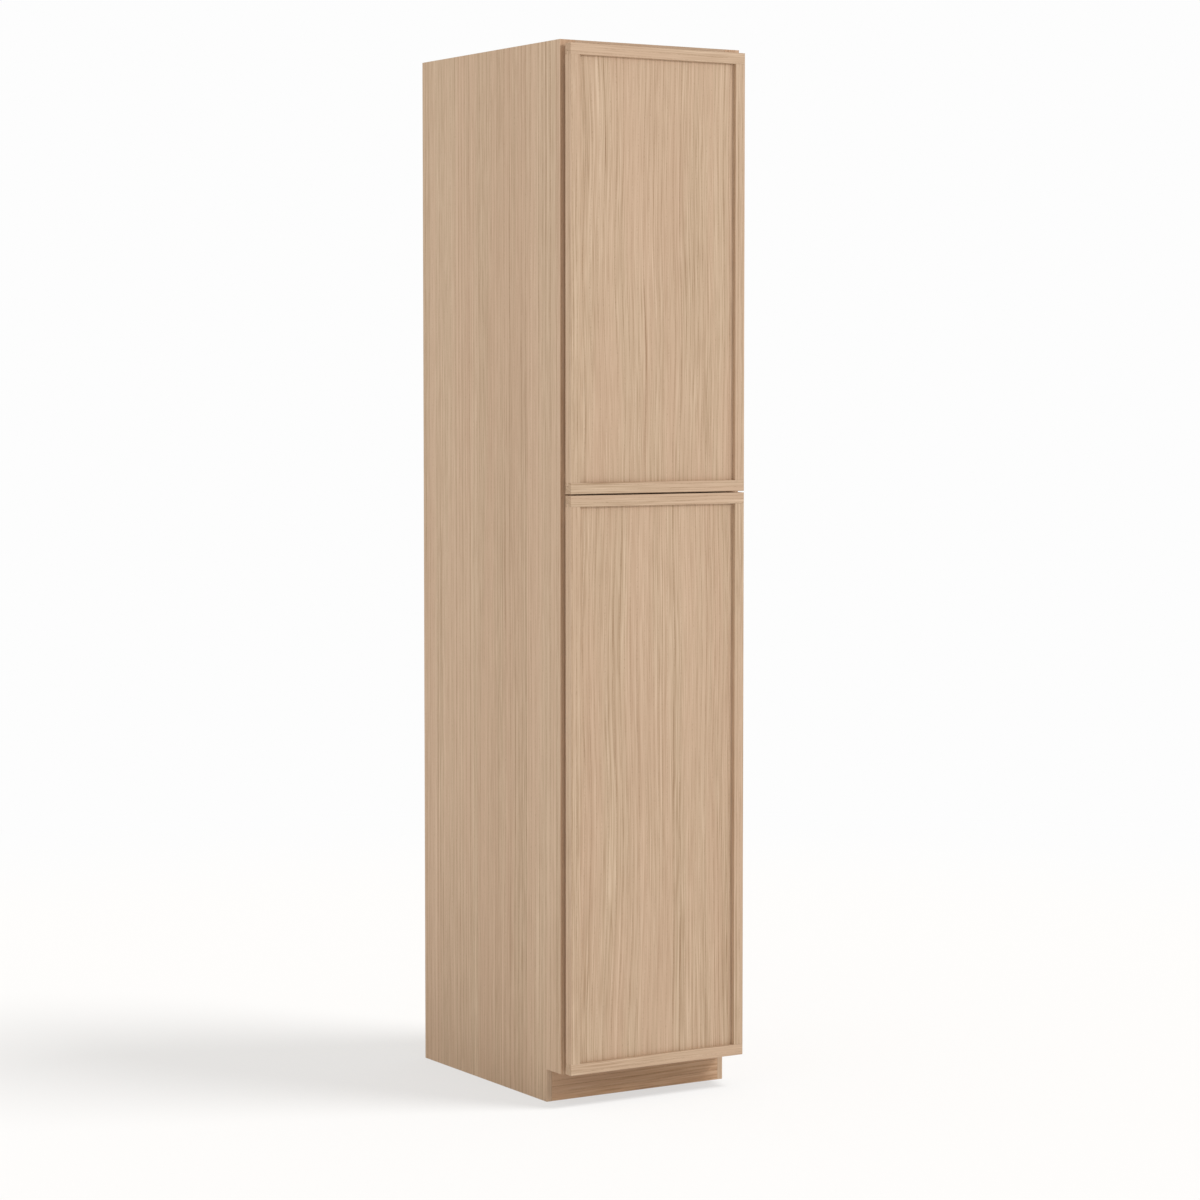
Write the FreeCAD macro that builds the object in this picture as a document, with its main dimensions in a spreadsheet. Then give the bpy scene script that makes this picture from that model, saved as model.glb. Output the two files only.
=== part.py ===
"""A tall oak broom cupboard: face-framed plywood case, toe space, two stacked slim-framed doors."""
import FreeCAD, Part
import math
import os
from types import SimpleNamespace

import Sketcher

# Every driving size in millimetres, with what it measures.
SIZES = (
    ("case_width", 457.2, "outside width across the two sides"),
    ("case_depth", 609.6, "front of the face frame to the wall"),
    ("case_height", 2286.0, "floor to the top"),
    ("side_thickness", 12.7, "plywood of the sides"),
    ("deck_thickness", 12.7, "plywood of top, floor and fixed shelf"),
    ("housing_depth", 5.0, "how far decks and back sit in the sides"),
    ("back_thickness", 6.35, "plywood of the back"),
    ("back_floor_gap", 12.0, "back kept up off the floor"),
    ("toe_height", 71.0, "height of the toe space"),
    ("toe_recess", 58.5, "face frame front to the toe board"),
    ("toe_board_thickness", 12.7, "toe board"),
    ("block_width", 19.0, "square glue block behind the toe board"),
    ("block_top_gap", 12.0, "glue block stops short of the floor panel"),
    ("hanging_rail_thickness", 19.05, "rails between back and wall"),
    ("hanging_rail_width", 88.9, "rails between back and wall"),
    ("wall_hole_radius", 2.5, "hole for a wall screw"),
    ("wall_hole_spacing", 304.8, "between the two wall screws of a rail"),
    ("frame_thickness", 19.05, "face frame"),
    ("frame_width", 38.1, "face frame stiles and rails"),
    ("frame_tenon_length", 8.0, "stub tenon of a face frame rail"),
    ("frame_tenon_thickness", 6.35, "stub tenon of a face frame rail"),
    ("frame_tenon_shoulder", 6.0, "shoulder above and below that tenon"),
    ("shelf_thickness", 15.9, "loose shelf"),
    ("shelf_side_clearance", 1.5, "loose shelf to a side"),
    ("shelf_front_setback", 12.0, "loose shelf behind the face frame"),
    ("shelf_back_clearance", 2.0, "loose shelf to the back"),
    ("peg_radius", 2.45, "shelf peg"),
    ("peg_reach", 9.0, "shelf peg out of the side"),
    ("peg_collar_radius", 3.4, "collar of a shelf peg"),
    ("peg_collar_thickness", 1.2, "collar of a shelf peg"),
    ("peg_hole_radius", 2.5, "peg hole"),
    ("peg_hole_depth", 9.0, "peg hole"),
    ("peg_end_play", 0.5, "peg end to the bottom of its hole"),
    ("peg_pitch", 32.0, "between peg holes"),
    ("peg_end_distance", 150.0, "first and last peg hole to the decks"),
    ("peg_column_inset", 60.0, "peg columns to the ends of the side"),
    ("door_thickness", 22.0, "door frame front to back"),
    ("door_gap", 11.0, "door back to face frame, finger room"),
    ("door_side_reveal", 6.35, "case seen beside a door"),
    ("door_top_reveal", 9.5, "case seen above the upper door"),
    ("door_bottom_reveal", 1.0, "case below the lower door"),
    ("door_split_height", 1320.7, "middle of the joint between the doors"),
    ("door_split_gap", 3.2, "joint between the doors"),
    ("door_frame_width", 24.0, "door stiles and rails"),
    ("panel_recess", 10.0, "door front to panel front"),
    ("groove_width", 6.0, "panel groove in the door frame"),
    ("groove_depth", 8.0, "panel groove in the door frame"),
    ("panel_float", 0.5, "panel and tenons to the groove bottom"),
    ("panel_clearance", 0.2, "panel field to the door frame"),
    ("edge_round", 1.2, "eased outside edges"),
    ("hinge_end_distance", 100.0, "hinge to the end of a door"),
    ("pin_from_edge", 8.0, "hinge pin to the door's edge"),
    ("pin_depth", 6.9, "hinge pin in front of the door's back"),
    ("pin_radius", 1.25, "hinge pin"),
    ("pin_length", 18.0, "hinge pin"),
    ("pin_clearance", 0.05, "knuckle bore round the pin"),
    ("knuckle_radius", 2.5, "knuckle of a hinge arm"),
    ("cup_radius", 17.5, "hinge cup"),
    ("cup_from_edge", 21.0, "hinge cup middle to the door's edge"),
    ("cup_depth", 10.4, "hinge cup"),
    ("bore_clearance", 0.1, "cup bore round and below the cup"),
    ("flange_radius", 19.0, "flange of a hinge cup"),
    ("flange_thickness", 1.2, "flange of a hinge cup"),
    ("ear_from_edge", 27.0, "cup screws to the door's edge"),
    ("ear_radius", 5.0, "ears of the flange"),
    ("ear_spread", 48.0, "between the two cup screws"),
    ("slot_height", 8.0, "slot in the cup for the arm"),
    ("slot_length", 32.0, "slot in the cup for the arm"),
    ("slot_depth", 9.6, "slot in the cup for the arm"),
    ("arm_thickness", 2.0, "bent plate of a hinge arm"),
    ("arm_height", 7.0, "tongue of a hinge arm"),
    ("arm_base_height", 50.0, "base of a hinge arm"),
    ("arm_base_depth", 18.0, "base of a hinge arm"),
    ("arm_base_setback", 0.5, "base of a hinge arm behind the frame's front"),
    ("arm_screw_spread", 34.0, "between the two screws of an arm"),
    ("arm_bend_radius", 2.4, "outside of the bend"),
    ("spring_thickness", 0.6, "closing leaf in a hinge cup"),
    ("spring_width", 6.0, "closing leaf in a hinge cup"),
    ("spring_length", 19.0, "closing leaf in a hinge cup"),
    ("spring_end_gap", 2.6, "closing leaf to the slot's inner end"),
    ("screw_shank_radius", 1.6, "hinge screw"),
    ("screw_head_radius", 3.2, "hinge screw"),
    ("screw_head_height", 1.8, "hinge screw"),
    ("screw_head_round", 1.0, "hinge screw"),
    ("screw_hole_radius", 1.8, "screw hole in hinge sheet"),
    ("cup_screw_length", 9.0, "screw under its head"),
    ("arm_screw_length", 15.0, "screw under its head"),
    ("cross_length", 3.4, "cross slot of a screw"),
    ("cross_width", 0.7, "cross slot of a screw"),
    ("cross_depth", 1.0, "cross slot of a screw"),
    ("bumper_radius", 5.0, "door bumper"),
    ("bumper_round", 1.5, "rim of a door bumper"),
    ("bumper_free_play", 0.2, "door bumper to the face frame"),
    ("bumper_from_edge", 12.0, "door bumper to the door's free edge"),
    ("bumper_from_end", 40.0, "door bumper to the end of a door"),
)

# Where the two loose shelves stand, as shares of the run of peg holes.
LOWER_SHELF_SHARE = 0.28
UPPER_SHELF_SHARE = 0.76

# Two places closer than this are the same place.
SAME_PLACE = 0.0005

SHEET_NAME = "Sizes"
FACING = {"XY_Plane": 1, "XZ_Plane": -1, "YZ_Plane": 1}


class Size:
    """A length as a formula of the sheet's cells, together with what it comes to."""

    def __init__(self, text, value):
        self.text = text
        self.value = value

    def joined(self, sign, other, value):
        return Size(f"({self.text} {sign} {as_size(other).text})", value)

    def __add__(self, other):
        return self.joined("+", other, self.value + as_size(other).value)

    def __sub__(self, other):
        return self.joined("-", other, self.value - as_size(other).value)

    def __mul__(self, other):
        return self.joined("*", other, self.value * as_size(other).value)

    def __truediv__(self, other):
        return self.joined("/", other, self.value / as_size(other).value)

    def __neg__(self):
        return self * -1

    def whole(self):
        return Size(f"floor({self.text})", math.floor(self.value))


def as_size(thing):
    if isinstance(thing, Size):
        return thing
    return Size(f"({thing})", thing)


NONE = Size("0", 0)
doc = FreeCAD.newDocument("BroomCupboard")
sheet = doc.addObject("Spreadsheet::Sheet", SHEET_NAME)
s = SimpleNamespace()
for row, (alias, millimetres, meaning) in enumerate(SIZES, start=1):
    sheet.set(f"A{row}", alias)
    sheet.set(f"B{row}", str(millimetres))
    sheet.set(f"C{row}", meaning)
    sheet.setAlias(f"B{row}", alias)
    setattr(s, alias, Size(f"{SHEET_NAME}.{alias}", millimetres))
doc.recompute()

# Planes of the shared frame: middle of the width and depth, floor at nought, front towards minus Y.
half_width = s.case_width / 2
back_y = (s.case_depth + s.door_gap + s.door_thickness) / 2
frame_y = back_y - s.case_depth
frame_back_y = frame_y + s.frame_thickness
door_back_y = frame_y - s.door_gap
door_front_y = door_back_y - s.door_thickness
inner_width = s.case_width - s.side_thickness * 2
inner_left_x = s.side_thickness - half_width
side_depth = s.case_depth - s.frame_thickness
back_panel_run = side_depth - s.hanging_rail_thickness - s.back_thickness
opening_width = s.case_width - s.frame_width * 2
floor_top_z = s.toe_height + s.frame_width
middle_rail_z = s.door_split_height - s.frame_width / 2
shelf_top_z = middle_rail_z + s.frame_width
top_rail_z = s.case_height - s.frame_width
deck_bottoms = {
    "floor_panel": floor_top_z - s.deck_thickness,
    "fixed_shelf": shelf_top_z - s.deck_thickness,
    "top_panel": s.case_height - s.deck_thickness,
}
upper_bay = deck_bottoms["top_panel"] - shelf_top_z
peg_steps = ((upper_bay - s.peg_end_distance * 2) / s.peg_pitch).whole()
first_peg_z = shelf_top_z + s.peg_end_distance

door_width = s.case_width - s.door_side_reveal * 2
door_left_x = s.door_side_reveal - half_width
door_right_x = half_width - s.door_side_reveal
panel_thickness = s.door_thickness - s.panel_recess
tongue = s.groove_depth - s.panel_float
pin_x = door_right_x - s.pin_from_edge
pin_y = door_back_y - s.pin_depth
cup_x = door_right_x - s.cup_from_edge

nodes = []


def bind(thing, where, size):
    """Ties one property to its formula of sheet cells."""
    thing.setExpression(where, as_size(size).text)


def place(thing, x=NONE, y=NONE, z=NONE):
    for axis, size in zip("xyz", (x, y, z)):
        bind(thing, f"Placement.Base.{axis}", size)


def keep(thing, label):
    """Takes the object into the list of finished pieces under its label."""
    thing.Label = label
    nodes.append(thing)
    return thing


def new_body(label):
    return doc.addObject("PartDesign::Body", label)


def new_sketch(body, plane, lift=NONE):
    """A sketch on one of the body's own planes, lifted along that axis."""
    roles = {feature.Role: feature for feature in body.Origin.OriginFeatures}
    sketch = body.newObject("Sketcher::SketchObject", f"{body.Name}_outline")
    sketch.AttachmentSupport = (roles[plane], [""])
    sketch.MapMode = "FlatFace"
    bind(sketch, "AttachmentOffset.Base.z", as_size(lift) * FACING[plane])
    return sketch


def fix_point(sketch, geometry, position, across, up):
    """Holds one point of the sketch at its two sizes from the sketch's origin."""
    for kind, size, axis in (("DistanceX", across, -2), ("DistanceY", up, -1)):
        size = as_size(size)
        if size.value == 0:
            sketch.addConstraint(Sketcher.Constraint("PointOnObject", geometry, position, axis))
            continue
        index = sketch.addConstraint(Sketcher.Constraint(kind, -1, 1, geometry, position, size.value))
        name = f"{kind}{geometry}"
        sketch.renameConstraint(index, name)
        bind(sketch, f"Constraints.{name}", size)


def draw_outline(sketch, points):
    """A closed outline of straight lines through the points."""
    first = sketch.GeometryCount
    count = len(points)
    corners = [FreeCAD.Vector(as_size(across).value, as_size(up).value, 0) for across, up in points]
    for index in range(count):
        sketch.addGeometry(Part.LineSegment(corners[index], corners[(index + 1) % count]))
    for index in range(count):
        following = first + (index + 1) % count
        sketch.addConstraint(Sketcher.Constraint("Coincident", first + index, 2, following, 1))
    for index, (across, up) in enumerate(points):
        fix_point(sketch, first + index, 1, across, up)
    return sketch


def draw_rectangle(sketch, left, low, right, high):
    return draw_outline(sketch, ((left, low), (right, low), (right, high), (left, high)))


def draw_circle(sketch, across, up, radius):
    centre = FreeCAD.Vector(as_size(across).value, as_size(up).value, 0)
    index = sketch.addGeometry(Part.Circle(centre, FreeCAD.Vector(0, 0, 1), radius.value))
    fix_point(sketch, index, 3, across, up)
    ring = sketch.addConstraint(Sketcher.Constraint("Radius", index, radius.value))
    sketch.renameConstraint(ring, f"Radius{index}")
    bind(sketch, f"Constraints.Radius{index}", radius)
    return sketch


def pad(body, sketch, length, backwards=False, both_ways=False):
    """Adds the outline's thickness: forwards is along the plane's own normal."""
    feature = body.newObject("PartDesign::Pad", f"{body.Name}_pad")
    feature.Profile = sketch
    feature.Reversed = backwards
    feature.Midplane = both_ways
    bind(feature, "Length", length)
    return feature


def pocket(body, sketch, depth, forwards=False, both_ways=False):
    """Takes the outline's depth away: plain is against the plane's own normal."""
    feature = body.newObject("PartDesign::Pocket", f"{body.Name}_pocket")
    feature.Profile = sketch
    feature.Reversed = forwards
    feature.Midplane = both_ways
    bind(feature, "Length", depth)
    return feature


def round_edges(body, radius, wanted, left_sharp=None):
    """Rounds the edges whose ends all pass the first test, but those whose ends all pass the second."""
    doc.recompute()
    base = body.Tip
    names = []
    for index, edge in enumerate(base.Shape.Edges, start=1):
        ends = [vertex.Point for vertex in edge.Vertexes]
        sharp = left_sharp is not None and all(left_sharp(point) for point in ends)
        if all(wanted(point) for point in ends) and not sharp:
            names.append(f"Edge{index}")
    feature = body.newObject("PartDesign::Fillet", f"{body.Name}_round")
    feature.Base = (base, names)
    bind(feature, "Radius", radius)
    return feature


def near(number, size):
    return math.isclose(number, as_size(size).value, abs_tol=SAME_PLACE)


def board(label, corner, lengths):
    """A plain board from its low corner and its three lengths."""
    box = doc.addObject("Part::Box", label)
    for name, size in zip(("Length", "Width", "Height"), lengths):
        bind(box, name, size)
    place(box, *corner)
    return box


def group(label, members):
    """Several like solids as one piece."""
    compound = doc.addObject("Part::Compound", label)
    compound.Links = members
    return keep(compound, label)


# Case.
def side_panel(label, hand):
    """A plywood side: toe notch, housings for the decks, groove for the back, two columns of peg holes."""
    body = new_body(label)
    notch = s.toe_recess - s.frame_thickness
    outline = (
        (notch, 0), (side_depth, 0), (side_depth, s.case_height),
        (0, s.case_height), (0, s.toe_height), (notch, s.toe_height),
    )
    pad(body, draw_outline(new_sketch(body, "YZ_Plane"), outline), s.side_thickness, backwards=hand < 0)
    inner = s.side_thickness * hand
    housings = new_sketch(body, "YZ_Plane", inner)
    for low in deck_bottoms.values():
        draw_rectangle(housings, 0, low, back_panel_run, low + s.deck_thickness)
    pocket(body, housings, s.housing_depth, forwards=hand < 0)
    groove = new_sketch(body, "YZ_Plane", inner)
    groove_back = back_panel_run + s.back_thickness
    draw_rectangle(groove, back_panel_run, s.back_floor_gap, groove_back, s.case_height)
    pocket(body, groove, s.housing_depth, forwards=hand < 0)
    holes = new_sketch(body, "YZ_Plane", inner)
    for across in peg_columns():
        draw_circle(holes, across, first_peg_z, s.peg_hole_radius)
    first_holes = pocket(body, holes, s.peg_hole_depth, forwards=hand < 0)
    column = body.newObject("PartDesign::LinearPattern", f"{label}_column")
    column.Originals = [first_holes]
    column.Direction = (holes, ["V_Axis"])
    bind(column, "Length", s.peg_pitch * peg_steps)
    bind(column, "Occurrences", peg_steps + 1)
    body.Tip = column
    place(body, x=half_width * -hand, y=frame_back_y)
    keep(body, label)


def peg_columns():
    """The two peg columns behind the front edge of a side."""
    return (s.peg_column_inset, back_panel_run - s.peg_column_inset)


def deck_panel(label):
    """A deck housed in both sides, from the face frame to the back."""
    corner = (inner_left_x - s.housing_depth, frame_back_y, deck_bottoms[label])
    lengths = (inner_width + s.housing_depth * 2, back_panel_run, s.deck_thickness)
    keep(board(label, corner, lengths), label)


def wall_hole_places():
    return (s.wall_hole_spacing / -2, s.wall_hole_spacing / 2)


HANGING_RAILS = {
    "hanging_rail_top": s.case_height - s.hanging_rail_width,
    "hanging_rail_middle": deck_bottoms["fixed_shelf"] - s.hanging_rail_width,
}


def back_panel():
    """The thin back in the grooves of the sides, drilled at the hanging rails."""
    body = new_body("back_panel")
    half = inner_width / 2 + s.housing_depth
    sketch = new_sketch(body, "XZ_Plane")
    draw_rectangle(sketch, -half, s.back_floor_gap, half, s.case_height)
    for low in HANGING_RAILS.values():
        for across in wall_hole_places():
            draw_circle(sketch, across, low + s.hanging_rail_width / 2, s.wall_hole_radius)
    pad(body, sketch, s.back_thickness, backwards=True)
    place(body, y=frame_back_y + back_panel_run)
    keep(body, "back_panel")


def hanging_rail(label, low):
    """A rail behind the back, flush with the rear edges, drilled for wall screws."""
    body = new_body(label)
    sketch = new_sketch(body, "XZ_Plane")
    draw_rectangle(sketch, inner_width / -2, 0, inner_width / 2, s.hanging_rail_width)
    for across in wall_hole_places():
        draw_circle(sketch, across, s.hanging_rail_width / 2, s.wall_hole_radius)
    pad(body, sketch, s.hanging_rail_thickness, backwards=True)
    place(body, y=back_y - s.hanging_rail_thickness, z=low)
    keep(body, label)


def foot_rail():
    corner = (inner_left_x, back_y - s.hanging_rail_thickness, NONE)
    lengths = (inner_width, s.hanging_rail_thickness, s.hanging_rail_width)
    keep(board("foot_rail_back", corner, lengths), "foot_rail_back")


def toe_board():
    corner = (inner_left_x, frame_y + s.toe_recess, NONE)
    lengths = (inner_width, s.toe_board_thickness, deck_bottoms["floor_panel"])
    keep(board("toe_kick_board", corner, lengths), "toe_kick_board")


def toe_blocks():
    """Two glue blocks in the corners behind the toe board."""
    back_of_board = frame_y + s.toe_recess + s.toe_board_thickness
    height = deck_bottoms["floor_panel"] - s.block_top_gap
    members = []
    for name, left in (("left", inner_left_x), ("right", inner_left_x + inner_width - s.block_width)):
        corner = (left, back_of_board, NONE)
        members.append(board(f"toe_block_{name}", corner, (s.block_width, s.block_width, height)))
    group("toe_kick_blocks", members)


# Face frame.
FRAME_RAILS = {
    "frame_rail_bottom": s.toe_height,
    "frame_rail_middle": middle_rail_z,
    "frame_rail_top": top_rail_z,
}
tenon_front = (s.frame_thickness - s.frame_tenon_thickness) / 2
tenon_back = tenon_front + s.frame_tenon_thickness


def frame_stile(label, hand):
    """A face frame stile, mortised for the three rails, its outside edge eased."""
    body = new_body(label)
    sketch = new_sketch(body, "YZ_Plane")
    draw_rectangle(sketch, 0, s.toe_height, s.frame_thickness, s.case_height)
    pad(body, sketch, s.frame_width, backwards=hand < 0)
    mortises = new_sketch(body, "YZ_Plane", s.frame_width * hand)
    for low in FRAME_RAILS.values():
        high = low + s.frame_width - s.frame_tenon_shoulder
        draw_rectangle(mortises, tenon_front, low + s.frame_tenon_shoulder, tenon_back, high)
    pocket(body, mortises, s.frame_tenon_length + s.panel_float, forwards=hand < 0)
    round_edges(body, s.edge_round, lambda point: near(point.x, 0) and near(point.y, 0))
    place(body, x=half_width * -hand, y=frame_y)
    keep(body, label)


def frame_rail(label, low):
    """A face frame rail with a stub tenon at each end."""
    body = new_body(label)
    sketch = new_sketch(body, "YZ_Plane")
    pad(body, draw_rectangle(sketch, 0, 0, s.frame_thickness, s.frame_width), opening_width)
    tenon = new_sketch(body, "YZ_Plane", -s.frame_tenon_length)
    high = s.frame_width - s.frame_tenon_shoulder
    draw_rectangle(tenon, tenon_front, s.frame_tenon_shoulder, tenon_back, high)
    pad(body, tenon, opening_width + s.frame_tenon_length * 2)
    place(body, x=opening_width / -2, y=frame_y, z=low)
    keep(body, label)


# Loose shelves.
def loose_shelf(name, share):
    """A shelf on four pegs; returns the height of its pegs."""
    peg_z = first_peg_z + s.peg_pitch * (peg_steps * share).whole()
    label = f"adjustable_shelf_{name}"
    corner = (
        inner_left_x + s.shelf_side_clearance,
        frame_back_y + s.shelf_front_setback,
        peg_z + s.peg_radius,
    )
    lengths = (
        inner_width - s.shelf_side_clearance * 2,
        back_panel_run - s.shelf_front_setback - s.shelf_back_clearance,
        s.shelf_thickness,
    )
    keep(board(label, corner, lengths), label)
    return peg_z


def shelf_peg(name, hand, along, peg_z):
    """A peg from its hole in a side, with a collar against the side."""
    body = new_body(name)
    buried = s.peg_hole_depth - s.peg_end_play
    stem = new_sketch(body, "YZ_Plane", buried * -hand)
    pad(body, draw_circle(stem, 0, 0, s.peg_radius), buried + s.peg_reach, backwards=hand < 0)
    collar = draw_circle(new_sketch(body, "YZ_Plane"), 0, 0, s.peg_collar_radius)
    pad(body, collar, s.peg_collar_thickness, backwards=hand < 0)
    place(body, x=inner_left_x * hand, y=frame_back_y + along, z=peg_z)
    return body


def loose_shelves():
    pegs = []
    for name, share in (("lower", LOWER_SHELF_SHARE), ("upper", UPPER_SHELF_SHARE)):
        peg_z = loose_shelf(name, share)
        for hand in (1, -1):
            for along in peg_columns():
                pegs.append(shelf_peg(f"shelf_peg_{len(pegs) + 1}", hand, along, peg_z))
    group("shelf_pins", pegs)


# Doors.
def door_rail(label, corner_z, groove_up):
    """A door rail over the full width, grooved on its inner edge, its outside edges eased."""
    body = new_body(label)
    groove_back = s.panel_recess + s.groove_width
    grooved = s.door_frame_width if groove_up else NONE
    plain = NONE if groove_up else s.door_frame_width
    bottom = grooved - s.groove_depth if groove_up else s.groove_depth
    outline = (
        (0, grooved), (s.panel_recess, grooved), (s.panel_recess, bottom), (groove_back, bottom),
        (groove_back, grooved), (s.door_thickness, grooved), (s.door_thickness, plain), (0, plain),
    )
    pad(body, draw_outline(new_sketch(body, "YZ_Plane"), outline), door_width)

    def outer_front(point):
        at_an_end = near(point.x, 0) or near(point.x, door_width)
        return near(point.y, 0) and (at_an_end or near(point.z, plain))

    round_edges(body, s.edge_round, outer_front, lambda point: near(point.z, grooved))
    place(body, x=door_left_x, y=door_front_y, z=corner_z)
    keep(body, label)


def door_stile(label, hand, low, high, hinge_heights):
    """A door stile between the rails: panel groove, stub tenons, and the cup bores where it is hung."""
    body = new_body(label)
    groove_back = s.panel_recess + s.groove_width
    inner = s.door_frame_width * hand
    bottom = inner - s.groove_depth * hand
    outline = (
        (0, 0), (inner, 0), (inner, s.panel_recess), (bottom, s.panel_recess),
        (bottom, groove_back), (inner, groove_back), (inner, s.door_thickness), (0, s.door_thickness),
    )
    length = high - low - s.door_frame_width * 2
    pad(body, draw_outline(new_sketch(body, "XY_Plane"), outline), length)
    round_edges(body, s.edge_round, lambda point: near(point.x, 0) and near(point.y, 0))
    tenon = new_sketch(body, "XY_Plane", -tongue)
    draw_rectangle(tenon, 0, s.panel_recess, bottom, groove_back)
    pad(body, tenon, length + tongue * 2)
    base_z = low + s.door_frame_width
    if hinge_heights:
        bores = new_sketch(body, "XZ_Plane", s.door_thickness)
        for height in hinge_heights:
            draw_circle(bores, s.cup_from_edge * hand, height - base_z, s.cup_radius + s.bore_clearance)
        pocket(body, bores, s.cup_depth + s.bore_clearance, forwards=True)
    place(body, x=door_left_x if hand > 0 else door_right_x, y=door_front_y, z=base_z)
    keep(body, label)


def door_panel(label, low, high, hinge_heights):
    """The flat panel: a tongue all round in the grooves, its back flush with the frame and bored."""
    body = new_body(label)
    wide = door_width - s.door_frame_width * 2
    tall = high - low - s.door_frame_width * 2
    face = new_sketch(body, "XZ_Plane")
    draw_rectangle(face, -tongue, -tongue, wide + tongue, tall + tongue)
    pad(body, face, s.groove_width, backwards=True)
    field = new_sketch(body, "XZ_Plane")
    edge = s.panel_clearance
    pad(body, draw_rectangle(field, edge, edge, wide - edge, tall - edge), panel_thickness, backwards=True)
    base_x = door_left_x + s.door_frame_width
    base_z = low + s.door_frame_width
    bores = new_sketch(body, "XZ_Plane", panel_thickness)
    for height in hinge_heights:
        draw_circle(bores, cup_x - base_x, height - base_z, s.cup_radius + s.bore_clearance)
    pocket(body, bores, s.cup_depth + s.bore_clearance, forwards=True)
    place(body, x=base_x, y=door_front_y + s.panel_recess, z=base_z)
    keep(body, label)


def bumper(name, height):
    """A soft bumper on the door's back at its free edge."""
    body = new_body(name)
    tall = s.door_gap - s.bumper_free_play
    pad(body, draw_circle(new_sketch(body, "XZ_Plane"), 0, 0, s.bumper_radius), tall, backwards=True)
    round_edges(body, s.bumper_round, lambda point: near(point.y, tall))
    place(body, x=door_left_x + s.bumper_from_edge, y=door_back_y, z=height)
    return body


# Hinges: a cup in the door, a pin across it, a bent arm on the face frame stile.
def hinge_cup(label, height):
    """A solid cup with a flange and two ears, slotted for the arm and bored for the pin."""
    body = new_body(label)
    ear_x = s.cup_from_edge - s.ear_from_edge
    pad(body, draw_circle(new_sketch(body, "XZ_Plane"), 0, 0, s.cup_radius), s.cup_depth)
    ring = draw_circle(new_sketch(body, "XZ_Plane"), 0, 0, s.flange_radius)
    pad(body, ring, s.flange_thickness, backwards=True)
    bar = new_sketch(body, "XZ_Plane")
    draw_rectangle(bar, ear_x - s.ear_radius, s.ear_spread / -2, ear_x + s.ear_radius, s.ear_spread / 2)
    pad(body, bar, s.flange_thickness, backwards=True)
    ear_ends = new_sketch(body, "XZ_Plane")
    screw_holes = new_sketch(body, "XZ_Plane", s.flange_thickness)
    for end in (s.ear_spread / -2, s.ear_spread / 2):
        draw_circle(ear_ends, ear_x, end, s.ear_radius)
        draw_circle(screw_holes, ear_x, end, s.screw_hole_radius)
    pad(body, ear_ends, s.flange_thickness, backwards=True)
    pocket(body, screw_holes, s.flange_thickness, forwards=True)
    slot = new_sketch(body, "XZ_Plane", s.flange_thickness)
    draw_rectangle(slot, s.slot_length / -2, s.slot_height / -2, s.slot_length / 2, s.slot_height / 2)
    pocket(body, slot, s.flange_thickness + s.slot_depth, forwards=True)
    pin_hole = new_sketch(body, "XY_Plane")
    draw_circle(pin_hole, s.cup_from_edge - s.pin_from_edge, -s.pin_depth, s.pin_radius)
    pocket(body, pin_hole, s.pin_length, both_ways=True)
    place(body, x=cup_x, y=door_back_y, z=height)
    keep(body, label)


def hinge_pin(name, height):
    pin = doc.addObject("Part::Cylinder", name)
    bind(pin, "Radius", s.pin_radius)
    bind(pin, "Height", s.pin_length)
    place(pin, pin_x, pin_y, height - s.pin_length / 2)
    return pin


def hinge_spring(name, height):
    """The leaf on the bottom of the slot that snaps the door shut."""
    corner = (
        cup_x - s.slot_length / 2 + s.spring_end_gap,
        door_back_y - s.slot_depth,
        height - s.spring_width / 2,
    )
    return board(name, corner, (s.spring_length, s.spring_thickness, s.spring_width))


def hinge_arm(label, height):
    """A bent plate: base on the stile's inner edge, tongue into the cup, knuckle round the pin."""
    body = new_body(label)
    far = half_width - s.frame_width - s.arm_thickness - pin_x
    inner = far + s.arm_thickness
    half = s.arm_thickness / 2
    to_frame = frame_y - pin_y
    tongue_end = to_frame + s.arm_base_depth / 2
    outline = ((0, -half), (far, -half), (far, tongue_end), (inner, tongue_end), (inner, half), (0, half))
    pad(body, draw_outline(new_sketch(body, "XY_Plane"), outline), s.arm_height, both_ways=True)
    round_edges(body, s.arm_bend_radius, lambda point: near(point.x, far) and near(point.y, -half))
    base = new_sketch(body, "XY_Plane")
    base_front = to_frame + s.arm_base_setback
    draw_rectangle(base, far, base_front, inner, base_front + s.arm_base_depth)
    pad(body, base, s.arm_base_height, both_ways=True)
    knuckle = draw_circle(new_sketch(body, "XY_Plane"), 0, 0, s.knuckle_radius)
    pad(body, knuckle, s.arm_height, both_ways=True)
    bore = draw_circle(new_sketch(body, "XY_Plane"), 0, 0, s.pin_radius + s.pin_clearance)
    pocket(body, bore, s.arm_height, both_ways=True)
    screw_holes = new_sketch(body, "YZ_Plane", far)
    for end in (s.arm_screw_spread / -2, s.arm_screw_spread / 2):
        draw_circle(screw_holes, base_front + s.arm_base_depth / 2, end, s.screw_hole_radius)
    pocket(body, screw_holes, s.arm_thickness, forwards=True)
    place(body, x=pin_x, y=pin_y, z=height)
    keep(body, label)


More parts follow.
